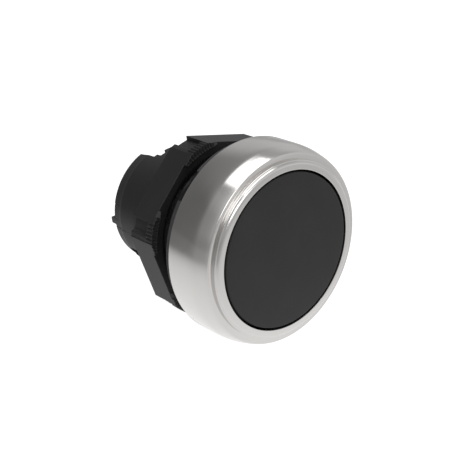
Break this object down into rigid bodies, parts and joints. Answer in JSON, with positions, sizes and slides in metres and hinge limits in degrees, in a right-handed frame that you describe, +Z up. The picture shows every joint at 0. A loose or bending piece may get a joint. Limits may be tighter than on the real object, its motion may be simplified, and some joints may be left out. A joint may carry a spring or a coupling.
{
  "type": "industrial push button",
  "caption": "Flush momentary panel push button head with satin metal bezel, sprung plunger, panel gasket and hexagon fixing nut for a 22.3 mm hole.",
  "frame": {"origin": "centre of the panel hole, on the panel's front face, where the gasket seals", "axes": "+Y along the push axis into the panel, +Z up, +X to the right of someone facing the button"},
  "size_m": [0.0298, 0.0301, 0.0298],
  "materials": {
    "bezel_metal": "satin nickel-chrome plating",
    "cap_moulding": "fine matt moulded black",
    "housing_moulding": "moulded black",
    "nut_moulding": "moulded black, slightly worn edges",
    "gasket_rubber": "matt dark grey",
    "seal_rubber": "matt black",
    "diaphragm_rubber": "matt silicone",
    "natural_moulding": "natural acetal",
    "spring_steel": "bright drawn"
  },
  "bodies": {
    "housing": {"bezel_ring": "bezel_metal", "bezel_seal": "seal_rubber", "actuator_housing": "housing_moulding", "index_key": "housing_moulding", "panel_gasket": "gasket_rubber", "wiper_ring": "seal_rubber", "diaphragm_clamp_ring": "natural_moulding", "diaphragm": "diaphragm_rubber", "guide_bush": "natural_moulding", "spring_seat_washer": "spring_steel", "return_spring": "spring_steel"},
    "plunger": {"button_cap": "cap_moulding", "cap_seal": "seal_rubber", "cap_carrier": "housing_moulding", "hub_clamp_ring": "natural_moulding", "plunger_stem": "natural_moulding", "spring_cup": "spring_steel", "retaining_clip": "spring_steel", "pusher_foot": "natural_moulding"},
    "nut": {"fixing_nut": "nut_moulding"}
  },
  "joints": [
    {"name": "button_press", "type": "slide", "parent": "housing", "child": "plunger", "axis": [0, 1, 0], "range_m": [0, 0.004], "stiffness_N_per_m": 590, "springref_m": -0.003, "deforming": ["return_spring", "diaphragm"]},
    {"name": "nut_travel", "type": "slide", "parent": "housing", "child": "nut", "axis": [0, 1, 0], "range_m": [-0.00225, 0.003]}
  ]
}
